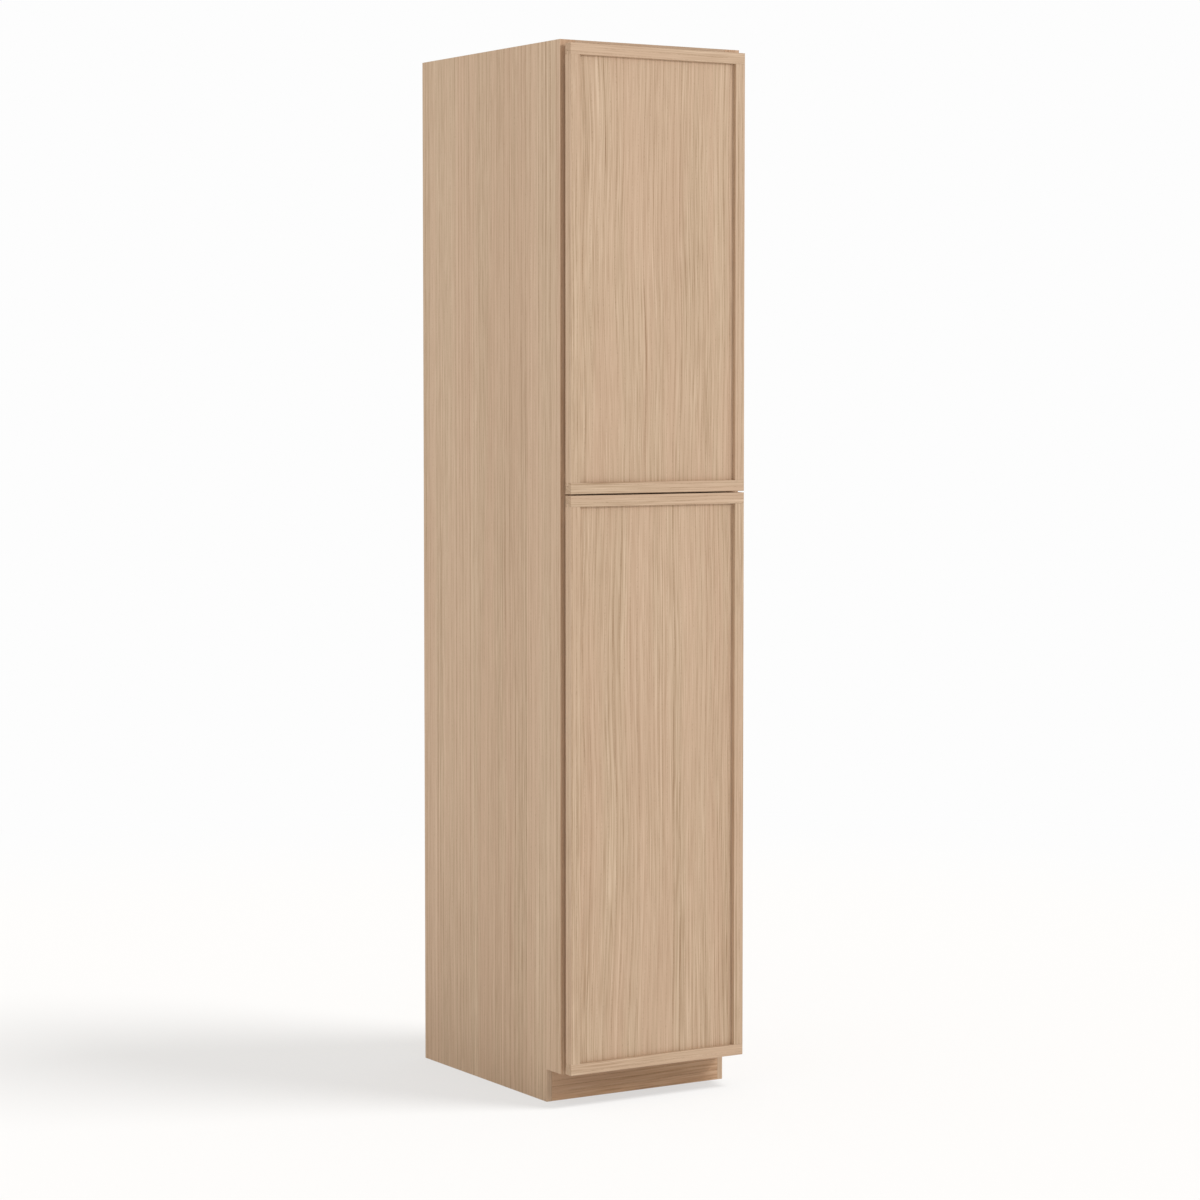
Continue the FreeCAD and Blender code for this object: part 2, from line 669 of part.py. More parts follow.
def hinge_screw(name, plane, forwards, length):
    """A round-headed cross-slotted screw square to the plane, the underside of its head on it."""
    body = new_body(name)
    head = draw_circle(new_sketch(body, plane), 0, 0, s.screw_head_radius)
    pad(body, head, s.screw_head_height, backwards=forwards)
    head_end = -s.screw_head_height if forwards else s.screw_head_height
    axis_facing = head_end * FACING[plane]
    axis_name = "x" if plane == "YZ_Plane" else "y"
    round_edges(body, s.screw_head_round, lambda point: near(getattr(point, axis_name), axis_facing))
    for wide, tall in ((s.cross_length, s.cross_width), (s.cross_width, s.cross_length)):
        cross = new_sketch(body, plane, axis_facing)
        draw_rectangle(cross, wide / -2, tall / -2, wide / 2, tall / 2)
        pocket(body, cross, s.cross_depth, forwards=forwards)
    shank = draw_circle(new_sketch(body, plane), 0, 0, s.screw_shank_radius)
    pad(body, shank, length, backwards=not forwards)
    return body


def cup_screws(label, heights):
    members = []
    for height in heights:
        for end in (s.ear_spread / -2, s.ear_spread / 2):
            screw = hinge_screw(f"{label}_{len(members) + 1}", "XZ_Plane", True, s.cup_screw_length)
            place(screw, door_right_x - s.ear_from_edge, door_back_y + s.flange_thickness, height + end)
            members.append(screw)
    group(label, members)


def arm_screws(label, heights):
    members = []
    along = frame_y + s.arm_base_setback + s.arm_base_depth / 2
    for height in heights:
        for end in (s.arm_screw_spread / -2, s.arm_screw_spread / 2):
            screw = hinge_screw(f"{label}_{len(members) + 1}", "YZ_Plane", True, s.arm_screw_length)
            place(screw, half_width - s.frame_width - s.arm_thickness, along, height + end)
            members.append(screw)
    group(label, members)


def door(name, low, high, hinges):
    """One door with its half of the hinges; hinges maps a place to a height."""
    heights = tuple(hinges.values())
    door_rail(f"{name}_door_rail_top", high - s.door_frame_width, False)
    door_rail(f"{name}_door_rail_bottom", low, True)
    door_stile(f"{name}_door_stile_left", 1, low, high, ())
    door_stile(f"{name}_door_stile_right", -1, low, high, heights)
    door_panel(f"{name}_door_panel", low, high, heights)
    for where, height in hinges.items():
        hinge_cup(f"{name}_hinge_cup_{where}", height)
        hinge_arm(f"{name}_hinge_arm_{where}", height)
    pins = [hinge_pin(f"{name}_pin_{where}", hinges[where]) for where in hinges]
    group(f"{name}_hinge_pins", pins)
    springs = [hinge_spring(f"{name}_spring_{where}", hinges[where]) for where in hinges]
    group(f"{name}_hinge_springs", springs)
    cup_screws(f"{name}_cup_screws", heights)
    ends = (low + s.bumper_from_end, high - s.bumper_from_end)
    bumpers = [bumper(f"{name}_bumper_{number}", height) for number, height in enumerate(ends, start=1)]
    group(f"{name}_door_bumpers", bumpers)


for side_label, side_hand in (("left", 1), ("right", -1)):
    side_panel(f"side_panel_{side_label}", side_hand)
    frame_stile(f"frame_stile_{side_label}", side_hand)
for deck_label in deck_bottoms:
    deck_panel(deck_label)
back_panel()
for rail_label, rail_low in HANGING_RAILS.items():
    hanging_rail(rail_label, rail_low)
foot_rail()
toe_board()
toe_blocks()
for rail_label, rail_low in FRAME_RAILS.items():
    frame_rail(rail_label, rail_low)
loose_shelves()

upper_low = s.door_split_height + s.door_split_gap / 2
upper_high = s.case_height - s.door_top_reveal
upper_hinges = {
    "top": upper_high - s.hinge_end_distance,
    "bottom": upper_low + s.hinge_end_distance,
}
door("upper", upper_low, upper_high, upper_hinges)

lower_low = s.toe_height + s.door_bottom_reveal
lower_high = s.door_split_height - s.door_split_gap / 2
lower_hinges = {
    "top": lower_high - s.hinge_end_distance,
    "middle": (lower_low + lower_high) / 2,
    "bottom": lower_low + s.hinge_end_distance,
}
door("lower", lower_low, lower_high, lower_hinges)
arm_screws("hinge_arm_screws", tuple(upper_hinges.values()) + tuple(lower_hinges.values()))

doc.recompute()
for thing in doc.Objects:
    if "Invalid" in thing.State or "Error" in thing.State:
        raise RuntimeError(f"{thing.Name} did not build: {thing.State}")
os.makedirs("parts", exist_ok=True)
for node in nodes:
    if node.Shape.isNull() or not node.Shape.isValid():
        raise RuntimeError(f"{node.Label} has no valid shape")
    node.Shape.exportStep(f"parts/{node.Label}.step")
    print(node.Label, len(node.Shape.Solids), round(node.Shape.Volume))
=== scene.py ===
"""Looks of the broom cupboard: woods, nickel and rubber on its solids, with floor, light and camera."""
import math
from types import SimpleNamespace

import bpy
from mathutils import Color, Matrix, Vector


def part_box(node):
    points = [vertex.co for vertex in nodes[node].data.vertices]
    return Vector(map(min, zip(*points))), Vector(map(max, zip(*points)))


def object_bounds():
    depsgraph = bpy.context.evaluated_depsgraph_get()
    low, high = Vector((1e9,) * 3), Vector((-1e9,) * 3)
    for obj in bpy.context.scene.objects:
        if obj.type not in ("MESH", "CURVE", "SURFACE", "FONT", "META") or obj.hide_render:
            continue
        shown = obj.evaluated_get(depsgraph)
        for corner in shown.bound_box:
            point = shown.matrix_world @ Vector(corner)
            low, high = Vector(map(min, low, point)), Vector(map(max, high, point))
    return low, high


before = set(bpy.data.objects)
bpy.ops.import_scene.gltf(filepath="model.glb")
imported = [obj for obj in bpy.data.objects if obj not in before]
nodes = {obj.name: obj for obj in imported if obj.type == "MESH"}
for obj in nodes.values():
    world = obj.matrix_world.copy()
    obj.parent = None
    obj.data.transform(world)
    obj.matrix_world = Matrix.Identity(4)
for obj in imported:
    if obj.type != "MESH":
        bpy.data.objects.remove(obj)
cad_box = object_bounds()

# Lengths are in metres, angles in degrees, and colours are screen values up to SCREEN_WHITE.
# A lamp or camera that isn't turned looks straight down, and turned up by LEVEL it looks level.
SCREEN_WHITE = 255
OPAQUE_SHARE = 1.0
LEVEL = 90.0

# Camera, at the photograph's angle.
CAMERA_PLACE = (-3.8273, -6.3122, 1.5544)
CAMERA_YAW = 31.548
CAMERA_PITCH = 3.323
CAMERA_LENS = 98.667
CAMERA_SHIFT_SHARE = -0.02
CAMERA_FARTHEST = 200.0

# Light: an even, warm white room, two soft lamps on the object and a soft sun on the floor.
# Turns go from the front to the right.
ROOM_STRENGTH = 0.70
ROOM_COLOUR = (255, 248, 239)
BACKGROUND_COLOUR = (253, 253, 253)
BACKGROUND_STRENGTH = 1.0
LAMP_DISTANCE = 8.0
LAMP_AIM_SHARE = 0.5
LAMPS = (
    SimpleNamespace(name="front_lamp", turn=24.0, rise=23.0, size=1.6, power=168.0),
    SimpleNamespace(name="side_lamp", turn=-100.0, rise=8.0, size=4.0, power=88.0),
)
SUN_TURN = 50.0
SUN_RISE = 60.0
SUN_SPREAD = 20.0
SUN_STRENGTH = 2.9

# Floor: pale, keeps the shadow near the object and goes over into the background further out.
FLOOR_HALF = 30.0
FLOOR_DROP = 0.0004
FLOOR_SEEN_COLOUR = (140, 140, 140)
FLOOR_GLOW = 0.605
FLOOR_BOUNCE_COLOUR = (203, 203, 203)
FLOOR_FADE_START = 2.4
FLOOR_FADE_END = 4.5

# Noise: the middle of its values, its scale in cells, and how many octaves beyond the first it has
# and how strong those are.
NOISE_MIDDLE_SHARE = 0.5
NOISE_SCALE = 1.0
PLAIN_NOISE = 0.0
COARSE_NOISE = 1.0
FINE_NOISE = 2.0
NOISE_ROUGHNESS_SHARE = 0.6

# Sockets of the mix node: those of the share and the two values that go in, and that of the result.
MIX_SOCKETS = {"FLOAT": (0, 2, 3, 0), "RGBA": (0, 6, 7, 2)}


def colour(screen):
    """A shader colour from its three screen values."""
    shares = [value / SCREEN_WHITE for value in screen]
    return (*Color(shares).from_srgb_to_scene_linear(), OPAQUE_SHARE)


class Tree:
    """A node tree, with short ways to add nodes and link them."""

    def __init__(self, tree):
        self.nodes = tree.nodes
        self.links = tree.links
        self.nodes.clear()

    def feed(self, socket, value):
        """Links a socket to another node's output, or sets it to a plain value."""
        if isinstance(value, bpy.types.NodeSocket):
            self.links.new(value, socket)
        else:
            socket.default_value = value

    def add(self, kind, inputs=None, **settings):
        """A new node with its settings, and its inputs set or linked by name or number."""
        node = self.nodes.new(kind)
        for name, setting in settings.items():
            setattr(node, name, setting)
        for name, value in (inputs or {}).items():
            self.feed(node.inputs[name], value)
        return node

    def math(self, operation, *values):
        """The result of one sum."""
        return self.add("ShaderNodeMath", dict(enumerate(values)), operation=operation).outputs[0]

    def plus(self, base, value, amount):
        """The base and an amount of a share counted from its middle."""
        return self.math("MULTIPLY_ADD", self.math("SUBTRACT", value, NOISE_MIDDLE_SHARE), amount, base)

    def vector(self, *parts):
        """A vector of up to three parts."""
        return self.add("ShaderNodeCombineXYZ", dict(enumerate(parts))).outputs[0]

    def length(self, vector):
        """How long a vector is."""
        return self.add("ShaderNodeVectorMath", {0: vector}, operation="LENGTH").outputs["Value"]

    def cells(self, lengths, sizes):
        """The lengths counted in cells of these sizes."""
        return self.vector(*(self.math("DIVIDE", length, size) for length, size in zip(lengths, sizes)))

    def noise(self, place, seed, detail=PLAIN_NOISE, roughness=NOISE_ROUGHNESS_SHARE):
        """Smooth noise in cells, with a seed."""
        inputs = {
            "Vector": place, "W": seed, "Scale": NOISE_SCALE, "Detail": detail, "Roughness": roughness,
        }
        return self.add("ShaderNodeTexNoise", inputs, noise_dimensions="4D").outputs

    def chance(self, *parts):
        """A random share for each whole-numbered place."""
        return self.add("ShaderNodeTexWhiteNoise", {"Vector": self.vector(*parts)}).outputs["Value"]

    def ease(self, value, start, end, low=0.0, high=1.0):
        """A smooth step from low at start to high at end."""
        inputs = {"Value": value, "From Min": start, "From Max": end, "To Min": low, "To Max": high}
        return self.add("ShaderNodeMapRange", inputs, interpolation_type="SMOOTHSTEP").outputs[0]

    def blend(self, share, first, second, kind="FLOAT"):
        """A value between two others, by a share."""
        *inputs, result = MIX_SOCKETS[kind]
        node = self.add("ShaderNodeMix", dict(zip(inputs, (share, first, second))), data_type=kind)
        return node.outputs[result]

    def mix(self, share, first, second):
        """A colour between two others, by a share."""
        return self.blend(share, first, second, "RGBA")

    def ramp(self, value, stops):
        """A colour from a value by stops of place and screen colour."""
        node = self.add("ShaderNodeValToRGB", {0: value})
        elements = node.color_ramp.elements
        while len(elements) < len(stops):
            elements.new(0)
        for element, (place, screen) in zip(elements, stops):
            element.position = place
            element.color = colour(screen)
        return node.outputs[0]

    def own(self, name):
        """A value that each object carries itself."""
        node = self.add("ShaderNodeAttribute", attribute_type="OBJECT", attribute_name=name)
        return node.outputs["Fac"]

    def parts(self, kind):
        """The three parts of a texture coordinate, by axis."""
        source = self.add("ShaderNodeTexCoord").outputs[kind]
        return self.add("ShaderNodeSeparateXYZ", {0: source}).outputs


def new_material(name):
    """An empty material and its tree."""
    material = bpy.data.materials.new(name)
    material.use_nodes = True
    return material, Tree(material.node_tree)


def variant(look, **changes):
    """A wood like another but for a few values."""
    return SimpleNamespace(**{**vars(look), **changes})


# Woods. Widths lie across the grain and lengths along it; shares say how much each mark shows.
OAK = SimpleNamespace(
    dark=(148, 117, 88), middle=(196, 171, 145), light=(226, 203, 178),
    rosy=(205, 174, 150), pore_colour=(120, 90, 64),
    line_width=0.0024, line_length=0.35, line_share=1.1,
    band_width=0.03, band_length=0.8, band_share=0.08,
    ring_width=0.008, early_share=0.35, ring_share=0.2,
    fibre_width=0.0015, fibre_length=0.06, fibre_share=0.5,
    pore_width=0.00022, pore_length=0.006, pore_share=0.5,
    hue_width=0.035, hue_length=0.6, hue_share=0.4,
    roughness_share=0.55, pore_roughness_share=0.8, shine_share=0.15, relief=0.00012,
)
TOE_OAK = variant(OAK, dark=(152, 113, 82), middle=(204, 168, 135), light=(226, 196, 166))
# Face-frame oak: its redder tone is painted shade, standing in for the reddish shade on the face frame
# in the narrow gap beside the doors.
FRAME_OAK_PAINTED_SHADE = variant(
    OAK, dark=(152, 114, 85), middle=(200, 168, 139), light=(225, 198, 171), rosy=(206, 170, 143),
)
MAPLE = SimpleNamespace(
    dark=(186, 156, 118), middle=(221, 198, 163), light=(238, 220, 190),
    rosy=(226, 198, 166), pore_colour=(176, 142, 106),
    line_width=0.012, line_length=0.3, line_share=0.5,
    band_width=0.06, band_length=0.5, band_share=0.3,
    ring_width=0.02, early_share=0.3, ring_share=0.1,
    fibre_width=0.0005, fibre_length=0.02, fibre_share=0.15,
    pore_width=0.0002, pore_length=0.002, pore_share=0.2,
    hue_width=0.06, hue_length=0.4, hue_share=0.3,
    roughness_share=0.42, pore_roughness_share=0.55, shine_share=0.25, relief=0.00005,
)
SOFTWOOD = SimpleNamespace(
    dark=(172, 128, 80), middle=(222, 190, 142), light=(240, 215, 172),
    rosy=(228, 188, 146), pore_colour=(160, 112, 68),
    line_width=0.008, line_length=0.5, line_share=0.5,
    band_width=0.04, band_length=0.6, band_share=0.3,
    ring_width=0.006, early_share=0.45, ring_share=0.4,
    fibre_width=0.0007, fibre_length=0.02, fibre_share=0.2,
    pore_width=0.0003, pore_length=0.004, pore_share=0.15,
    hue_width=0.05, hue_length=0.5, hue_share=0.35,
    roughness_share=0.7, pore_roughness_share=0.8, shine_share=0.1, relief=0.00012,
)

# How a board was cut: how far that spread and stretched its grain and how much it shows, where the
# heart of its log lay, how far and fast the trunk wandered, and for veneer, how its leaves were laid
# side by side and how much their tones differ.
PANEL_CUT = SimpleNamespace(
    spread_share=1.0, stretch_share=1.2, contrast_share=1.0,
    heart_across=-0.55, heart_deep=0.4, wander=0.02, wander_width=0.3, wander_length=0.5,
    leaf_start=0.0, leaf_width=0.145, leaf_share=0.06,
)
SIDE_CUT = SimpleNamespace(
    spread_share=1.6, stretch_share=2.5, contrast_share=1.0,
    heart_across=-0.9, heart_deep=0.5, wander=0.006, wander_width=0.3, wander_length=1.2,
    leaf_start=0.0725, leaf_width=0.22, leaf_share=0.12,
)
STILE_CUT = SimpleNamespace(
    spread_share=1.0, stretch_share=1.5, contrast_share=1.1,
    heart_across=-0.9, heart_deep=0.5, wander=0.006, wander_width=0.2, wander_length=0.9,
)
RAIL_CUT = SimpleNamespace(
    spread_share=1.0, stretch_share=1.0, contrast_share=1.5,
    heart_across=-0.3, heart_deep=0.3, wander=0.008, wander_width=0.1, wander_length=0.4,
)
PEELED_CUT = SimpleNamespace(
    spread_share=1.0, stretch_share=1.0, contrast_share=1.0,
    heart_across=-0.3, heart_deep=0.25, wander=0.06, wander_width=0.16, wander_length=0.35,
    leaf_start=0.0, leaf_width=0.21, leaf_share=0.1,
)

# Draws: the spread of early and late years, in years, and the draw of the leaves' tones.
UNEVEN_YEARS = 2.0
LEAF_SEED = 43.0

# Tones on the way from dark to light, how strong weak and strong lines are, where noise counts as a
# clear band, a pore or a hue, and where a surface counts as facing along an axis.
GROUND_TONE_SHARE = 0.54
MIDDLE_TONE_SHARE = 0.5
LINE_ROUGHNESS_SHARE = 0.9
LINE_STRENGTH_SHARES = (0.5, 1.5)
CLEAR_BAND_SHARES = (0.35, 0.65)
PORE_SHARES = (0.56, 0.68)
HUE_SHARES = (0.35, 0.65)
FACING_SHARES = (0.45, 0.65)
END_GRAIN_SHARE = 0.3
BUMP_STRENGTH_SHARE = 0.4

# Ply edges: every other layer is dark, with glue between the layers.
PLY_PALE = (214, 186, 144)
PLY_DARK = (176, 138, 96)
PLY_GLUE = (120, 88, 58)
PLY_PAIR = 2
PLY_HALF_SHARE = 0.5
PLY_GLUE_SHARE = 0.12
PLY_GLUE_TONE_SHARE = 0.6
PLY_SPECK_SHARE = 0.8
PLY_SPECK_WIDTH = 0.0012
PLY_SPECK_LENGTH = 0.02


def leaf_draw(tree, across, board, cut):
    """A random share for each leaf of veneer."""
    from_start = tree.math("SUBTRACT", across, cut.leaf_start)
    number = tree.math("FLOOR", tree.math("DIVIDE", from_start, cut.leaf_width))
    return tree.chance(number, board, LEAF_SEED)


def log_radius(tree, along, across, deep, board, cut):
    """How far from the log's heart the wood grew; the trunk wandered, and the cut may spread it out."""
    sizes = (cut.wander_width, cut.wander_width, cut.wander_length)
    wandered = tree.noise(tree.cells((across, deep, along), sizes), board)["Color"]
    drift = tree.add("ShaderNodeSeparateXYZ", {0: wandered}).outputs
    from_heart = tree.vector(
        tree.plus(tree.math("SUBTRACT", across, cut.heart_across), drift["X"], cut.wander),
        tree.plus(tree.math("SUBTRACT", deep, cut.heart_deep), drift["Y"], cut.wander),
    )
    return tree.math("DIVIDE", tree.length(from_heart), cut.spread_share)


def wood_surface(tree, axes, look, cut, veneer):
    """Colour, roughness and height of a wood, with its grain along the first axis."""
    place = tree.parts("Object")
    along, across, deep = (place[axis] for axis in axes)
    board = tree.own("board")
    leaf = leaf_draw(tree, across, board, cut) if veneer else 0.0
    radius = log_radius(tree, along, across, deep, board, cut)

    def streaks(width, length, detail):
        cells = tree.cells((radius, along), (width, length * cut.stretch_share))
        return tree.noise(cells, tree.math("ADD", board, leaf), detail, LINE_ROUGHNESS_SHARE)[0]

    def specks(width, length):
        return tree.noise(tree.cells((across, deep, along), (width, width, length)), board)[0]

    # Each year starts with a dark porous line of its own strength.
    line = streaks(look.line_width, look.line_length, FINE_NOISE)
    band = streaks(look.band_width, look.band_length, COARSE_NOISE)
    uneven = tree.noise(tree.cells((radius,), (look.band_width,)), board)[0]
    years = tree.plus(tree.math("DIVIDE", radius, look.ring_width), uneven, UNEVEN_YEARS)
    early = tree.ease(tree.math("FRACT", years), 0.0, look.early_share, 1.0, 0.0)
    ring = tree.math("MULTIPLY", early, tree.chance(tree.math("FLOOR", years), board, 0.0))
    fibre = specks(look.fibre_width, look.fibre_length)
    pore = tree.ease(specks(look.pore_width, look.pore_length), *PORE_SHARES)
    pore = tree.math("MULTIPLY", pore, early)

    weak, strong = (share * look.line_share * cut.contrast_share for share in LINE_STRENGTH_SHARES)
    tone = tree.plus(GROUND_TONE_SHARE, line, tree.ease(band, *CLEAR_BAND_SHARES, strong, weak))
    tone = tree.plus(tone, band, look.band_share)
    tone = tree.plus(tone, fibre, look.fibre_share)
    tone = tree.math("MULTIPLY_ADD", ring, -look.ring_share, tone)
    if veneer:
        tone = tree.plus(tone, leaf, cut.leaf_share)
    full = tree.ramp(tone, ((0.0, look.dark), (MIDDLE_TONE_SHARE, look.middle), (1.0, look.light)))
    hue = streaks(look.hue_width, look.hue_length, COARSE_NOISE)
    hue = tree.ease(hue, *HUE_SHARES, 0.0, look.hue_share)
    full = tree.mix(hue, full, colour(look.rosy))
    full = tree.mix(tree.math("MULTIPLY", pore, look.pore_share), full, colour(look.pore_colour))

    # Sawn ends drink more lacquer and look darker.
    facing = tree.math("ABSOLUTE", tree.parts("Normal")[axes[0]])
    end = tree.ease(facing, *FACING_SHARES, 0.0, END_GRAIN_SHARE)
    full = tree.mix(end, full, colour(look.dark))
    roughness = tree.blend(pore, look.roughness_share, look.pore_roughness_share)
    height = tree.math("SUBTRACT", line, tree.math("ADD", pore, ring))
    return full, roughness, height


def between(tree, share, first, second):
    """A surface between two others, by a share."""
    full = tree.mix(share, first[0], second[0])
    roughness, height = (tree.blend(share, *pair) for pair in zip(first[1:], second[1:]))
    return full, roughness, height


def with_ply_edges(tree, surface, axes, look):
    """The surface on a ply sheet's faces and banded front edge, and its layers on the other edges."""
    place = tree.parts("Object")
    deep = tree.math("SUBTRACT", place[axes[2]], tree.own("sheet_low"))
    layers = tree.math("DIVIDE", deep, tree.own("ply"))
    odd = tree.math("FLOORED_MODULO", tree.math("FLOOR", layers), PLY_PAIR)
    sizes = (PLY_SPECK_WIDTH, PLY_SPECK_LENGTH, PLY_SPECK_LENGTH)
    speck = tree.noise(tree.cells((deep, place[axes[1]], place[axes[0]]), sizes), odd, FINE_NOISE)[0]
    edge = tree.mix(tree.plus(odd, speck, PLY_SPECK_SHARE), colour(PLY_PALE), colour(PLY_DARK))
    to_glue = tree.math("PINGPONG", layers, PLY_HALF_SHARE)
    glue = tree.ease(to_glue, 0.0, PLY_GLUE_SHARE, PLY_GLUE_TONE_SHARE, 0.0)
    edge = tree.mix(glue, edge, colour(PLY_GLUE))
    normal = tree.parts("Normal")
    to_front = tree.math("SUBTRACT", 0.0, normal["Y"])
    facing = tree.math("MAXIMUM", tree.math("ABSOLUTE", normal[axes[2]]), to_front)
    on_face = tree.ease(facing, *FACING_SHARES)
    return between(tree, on_face, (edge, look.pore_roughness_share, speck), surface)


def end_material(tree, inputs):
    """Ends a material's tree in one shader."""
    shader = tree.add("ShaderNodeBsdfPrincipled", inputs)
    tree.add("ShaderNodeOutputMaterial", {"Surface": shader.outputs[0]})


def finish_wood(tree, surface, look):
    """Ends a wooden material with a clear lacquer."""
    full, roughness, height = surface
    relief = {"Strength": BUMP_STRENGTH_SHARE, "Distance": look.relief, "Height": height}
    bump = tree.add("ShaderNodeBump", relief)
    inputs = {"Base Color": full, "Roughness": roughness, "Specular IOR Level": look.shine_share}
    end_material(tree, {**inputs, "Normal": bump.outputs[0]})


def solid_wood(name, axes, look, cut):
    """A board sawn from one log."""
    material, tree = new_material(name)
    finish_wood(tree, wood_surface(tree, axes, look, cut, veneer=False), look)
    return material


def veneered(name, axes, look, cut):
    """A panel under leaves of veneer laid side by side."""
    material, tree = new_material(name)
    finish_wood(tree, wood_surface(tree, axes, look, cut, veneer=True), look)
    return material


def ply_sheet(name, axes, look, cut):
    """Ply with one veneer on both faces."""
    material, tree = new_material(name)
    surface = wood_surface(tree, axes, look, cut, veneer=True)
    finish_wood(tree, with_ply_edges(tree, surface, axes, look), look)
    return material


def case_side(name, axes):
    """Ply with oak outside and maple inside."""
    material, tree = new_material(name)
    outside = wood_surface(tree, axes, OAK, SIDE_CUT, veneer=True)
    inside = wood_surface(tree, axes, MAPLE, PEELED_CUT, veneer=True)
    toward_middle = tree.math("SUBTRACT", 0.0, tree.math("SIGN", tree.parts("Object")["X"]))
    inward = tree.math("MULTIPLY", toward_middle, tree.parts("Normal")["X"])
    surface = between(tree, tree.ease(inward, *FACING_SHARES), outside, inside)
    finish_wood(tree, with_ply_edges(tree, surface, axes, OAK), OAK)
    return material


def frame_stile(name, axes, side_axes):
    """A stile of the face frame, with sides like the case's and a slightly redder front; that redness
    is painted shade for the narrow gap beside the doors.
    """
    material, tree = new_material(name)
    # The front's redder oak is painted shade for the gap beside the doors; the sides are plain case
    # oak.
    front = wood_surface(tree, axes, FRAME_OAK_PAINTED_SHADE, STILE_CUT, veneer=False)
    side = wood_surface(tree, side_axes, OAK, SIDE_CUT, veneer=False)
    sideways = tree.math("ABSOLUTE", tree.parts("Normal")["X"])
    finish_wood(tree, between(tree, tree.ease(sideways, *FACING_SHARES), front, side), OAK)
    return material


# Nickel plate with faint rolling streaks, and milky soft rubber.
NICKEL = SimpleNamespace(
    dark=(188, 185, 179), light=(218, 215, 209),
    roughness_shares=(0.24, 0.42), metal_share=1.0, mark_sizes=(0.0004, 0.0004, 0.006),
)
RUBBER = SimpleNamespace(
    dark=(188, 184, 176), light=(214, 211, 204),
    roughness_shares=(0.35, 0.55), metal_share=0.0, mark_sizes=(0.0008, 0.0008, 0.0008),
)


def marked(name, look):
    """A material with fine marks, uneven in colour and shine."""
    material, tree = new_material(name)
    mark = tree.noise(tree.cells(tree.parts("Object"), look.mark_sizes), 0.0, FINE_NOISE)[0]
    inputs = {
        "Base Color": tree.mix(mark, colour(look.dark), colour(look.light)),
        "Roughness": tree.blend(mark, *look.roughness_shares),
        "Metallic": look.metal_share,
    }
    end_material(tree, inputs)
    return material


# The axes along a board's grain, across its face and through it.
UPRIGHT_AXES = "ZXY"
LEVEL_AXES = "XZY"
SIDE_AXES = "ZYX"
DECK_AXES = "XYZ"

# Which piece is of what, by what its name holds; the first match counts.
oak_upright = solid_wood("oak_upright", UPRIGHT_AXES, OAK, STILE_CUT)
oak_level = solid_wood("oak_level", LEVEL_AXES, OAK, RAIL_CUT)
frame_upright_painted_shade = frame_stile("frame_upright_painted_shade", UPRIGHT_AXES, SIDE_AXES)
toe_level = solid_wood("toe_level", LEVEL_AXES, TOE_OAK, RAIL_CUT)
softwood_level = solid_wood("softwood_level", LEVEL_AXES, SOFTWOOD, RAIL_CUT)
softwood_upright = solid_wood("softwood_upright", UPRIGHT_AXES, SOFTWOOD, STILE_CUT)
maple_deck = ply_sheet("maple_deck", DECK_AXES, MAPLE, PEELED_CUT)
maple_back = ply_sheet("maple_back", UPRIGHT_AXES, MAPLE, PEELED_CUT)
oak_door_panel = veneered("oak_door_panel", UPRIGHT_AXES, OAK, PANEL_CUT)
oak_case_side = case_side("oak_case_side", SIDE_AXES)
nickel_plate = marked("nickel_plate", NICKEL)
milky_rubber = marked("milky_rubber", RUBBER)
FINISHES = {
    "hinge": nickel_plate,
    "screws": nickel_plate,
    "pins": nickel_plate,
    "bumpers": milky_rubber,
    "door_panel": oak_door_panel,
    "side_panel": oak_case_side,
    "back_panel": maple_back,
    "top_panel": maple_deck,
    "floor_panel": maple_deck,
    "shelf": maple_deck,
    "hanging_rail": softwood_level,
    "foot_rail": softwood_level,
    "toe_kick_blocks": softwood_upright,
    "toe_kick_board": toe_level,
    "frame_stile": frame_upright_painted_shade,
    "rail": oak_level,
    "stile": oak_upright,
}

# Ply sheets, by how their names start: their axes and their number of layers.
SHEETS = {
    "side_panel": (SIDE_AXES, 9),
    "back_panel": (UPRIGHT_AXES, 5),
    "top_panel": (DECK_AXES, 9),
    "floor_panel": (DECK_AXES, 9),
    "fixed_shelf": (DECK_AXES, 9),
    "adjustable_shelf": (DECK_AXES, 11),
}

# Boards whose sharp arris is sanded off.
EASED = (
    "door_rail", "door_stile", "frame_rail", "foot_rail", "toe_kick", "fixed_shelf", "adjustable_shelf",
)
ARRIS = 0.0005
ARRIS_STEPS = 2
ARRIS_ANGLE = 40.0
FLAT_ANGLE = 0.5
WELD_DISTANCE = 0.00001


def ease_edges(piece):
    """Takes the sharp arris off a board."""
    weld = piece.modifiers.new("weld", "WELD")
    weld.merge_threshold = WELD_DISTANCE
    flat = piece.modifiers.new("flat_faces", "DECIMATE")
    flat.decimate_type = "DISSOLVE"
    flat.angle_limit = math.radians(FLAT_ANGLE)
    bevel = piece.modifiers.new("arris", "BEVEL")
    bevel.width = ARRIS
    bevel.segments = ARRIS_STEPS
    bevel.limit_method = "ANGLE"
    bevel.angle_limit = math.radians(ARRIS_ANGLE)
    bevel.harden_normals = True


def describe_sheet(piece, name, axes, layers):
    """Tells a ply sheet's material where the sheet starts and how thick its layers are."""
    axis = DECK_AXES.index(axes[2])
    low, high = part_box(name)
    piece["sheet_low"] = low[axis]
    piece["ply"] = (high[axis] - low[axis]) / layers


for number, name in enumerate(sorted(nodes)):
    piece = nodes[name]
    piece["board"] = float(number)
    finish = next(material for part, material in FINISHES.items() if part in name)
    for slot in piece.material_slots:
        slot.material = finish
    for start, (axes, layers) in SHEETS.items():
        if name.startswith(start):
            describe_sheet(piece, name, axes, layers)
    if any(part in name for part in EASED):
        ease_edges(piece)


# Floor, room, lamps and camera.
def link(name, data):
    """A new object in the scene."""
    piece = bpy.data.objects.new(name, data)
    bpy.context.scene.collection.objects.link(piece)
    return piece


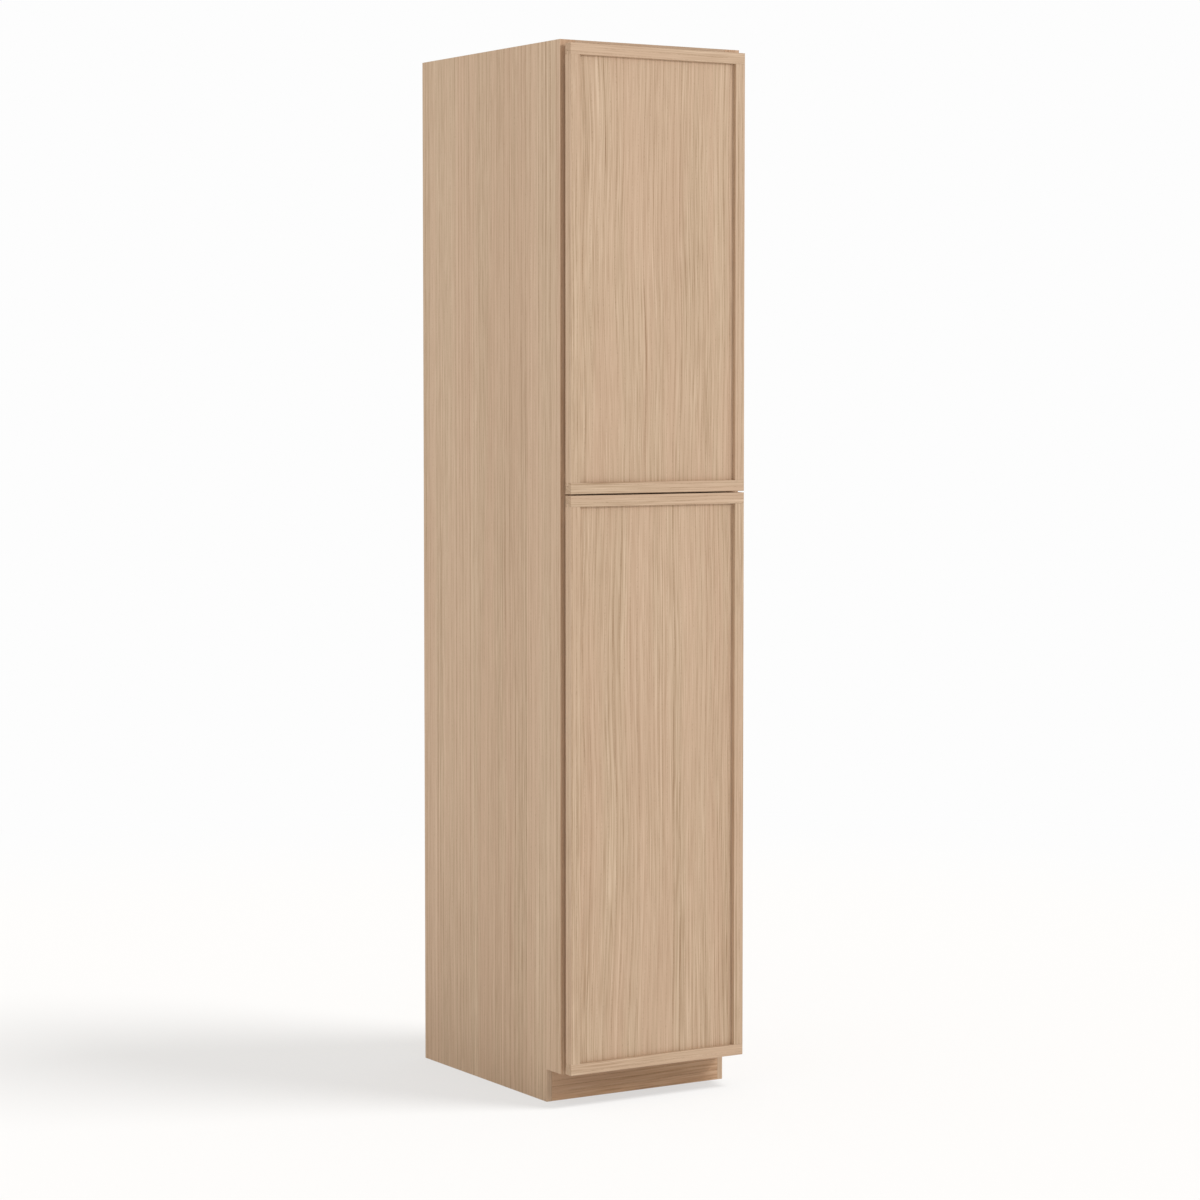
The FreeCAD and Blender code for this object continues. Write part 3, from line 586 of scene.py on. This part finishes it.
def seen_ray(tree):
    """One on rays that the camera sees, also by way of metal or glass, and zero on rays that light."""
    rays = tree.add("ShaderNodeLightPath").outputs
    mirrored = tree.math("MAXIMUM", rays["Is Glossy Ray"], rays["Is Transmission Ray"])
    return tree.math("MAXIMUM", rays["Is Camera Ray"], mirrored)


def floor():
    """A square floor, with the colour that is seen and another that throws light back on the object."""
    mesh = bpy.data.meshes.new("floor")
    signs = ((-1, -1), (1, -1), (1, 1), (-1, 1))
    corners = [(x * FLOOR_HALF, y * FLOOR_HALF, -FLOOR_DROP) for x, y in signs]
    mesh.from_pydata(corners, [], [range(len(corners))])
    piece = link("floor", mesh)
    material, tree = new_material("floor_paint")
    mesh.materials.append(material)
    shade = tree.add("ShaderNodeBsdfDiffuse", {"Color": colour(FLOOR_SEEN_COLOUR)})
    glow = tree.add("ShaderNodeEmission", {"Strength": FLOOR_GLOW})
    near = tree.add("ShaderNodeAddShader", {0: shade.outputs[0], 1: glow.outputs[0]})
    background = {"Color": colour(BACKGROUND_COLOUR), "Strength": BACKGROUND_STRENGTH}
    far = tree.add("ShaderNodeEmission", background)
    distance = tree.length(tree.add("ShaderNodeTexCoord").outputs["Object"])
    fade = tree.ease(distance, FLOOR_FADE_START, FLOOR_FADE_END)
    looks = tree.add("ShaderNodeMixShader", {0: fade, 1: near.outputs[0], 2: far.outputs[0]})
    bounce = tree.add("ShaderNodeBsdfDiffuse", {"Color": colour(FLOOR_BOUNCE_COLOUR)})
    seen = seen_ray(tree)
    both = tree.add("ShaderNodeMixShader", {0: seen, 1: bounce.outputs[0], 2: looks.outputs[0]})
    tree.add("ShaderNodeOutputMaterial", {"Surface": both.outputs[0]})
    return piece


def room():
    """An even, warm white room that lights the object, with the photograph's white behind it."""
    world = bpy.data.worlds.new("room")
    world.use_nodes = True
    bpy.context.scene.world = world
    tree = Tree(world.node_tree)
    seen = seen_ray(tree)
    inputs = {
        "Color": tree.mix(seen, colour(ROOM_COLOUR), colour(BACKGROUND_COLOUR)),
        "Strength": tree.blend(seen, ROOM_STRENGTH, BACKGROUND_STRENGTH),
    }
    air = tree.add("ShaderNodeBackground", inputs)
    tree.add("ShaderNodeOutputWorld", {"Surface": air.outputs[0]})


def light(data, turn, rise, ground, on_ground):
    """A light at a turn and a rise about the object, for the ground alone or for all but the ground."""
    piece = link(data.name, data)
    piece.rotation_euler = (math.radians(LEVEL - rise), 0, math.radians(turn))
    lit = bpy.data.collections.new(f"lit_by_{data.name}")
    lit.objects.link(ground)
    lit.collection_objects[0].light_linking.link_state = "INCLUDE" if on_ground else "EXCLUDE"
    piece.light_linking.receiver_collection = lit
    return piece


def lamp(kind, ground):
    """A large soft lamp on the object."""
    data = bpy.data.lights.new(kind.name, "AREA")
    data.energy = kind.power
    data.size = kind.size
    piece = light(data, kind.turn, kind.rise, ground, on_ground=False)
    low, high = cad_box
    back = piece.rotation_euler.to_matrix().col[2]
    piece.location = low.lerp(high, LAMP_AIM_SHARE) + back * LAMP_DISTANCE


def sun(ground):
    """A soft sun that throws the object's shadow on the floor."""
    data = bpy.data.lights.new("floor_sun", "SUN")
    data.energy = SUN_STRENGTH
    data.angle = math.radians(SUN_SPREAD)
    light(data, SUN_TURN, SUN_RISE, ground, on_ground=True)


def camera():
    """A camera at the photograph's angle."""
    data = bpy.data.cameras.new("camera")
    data.lens = CAMERA_LENS
    data.shift_y = CAMERA_SHIFT_SHARE
    data.clip_end = CAMERA_FARTHEST
    piece = link("camera", data)
    piece.location = CAMERA_PLACE
    piece.rotation_euler = (math.radians(LEVEL - CAMERA_PITCH), 0, math.radians(-CAMERA_YAW))
    bpy.context.scene.camera = piece


ground = floor()
room()
for kind in LAMPS:
    lamp(kind, ground)
sun(ground)
camera()
bpy.context.scene.view_settings.view_transform = "Standard"
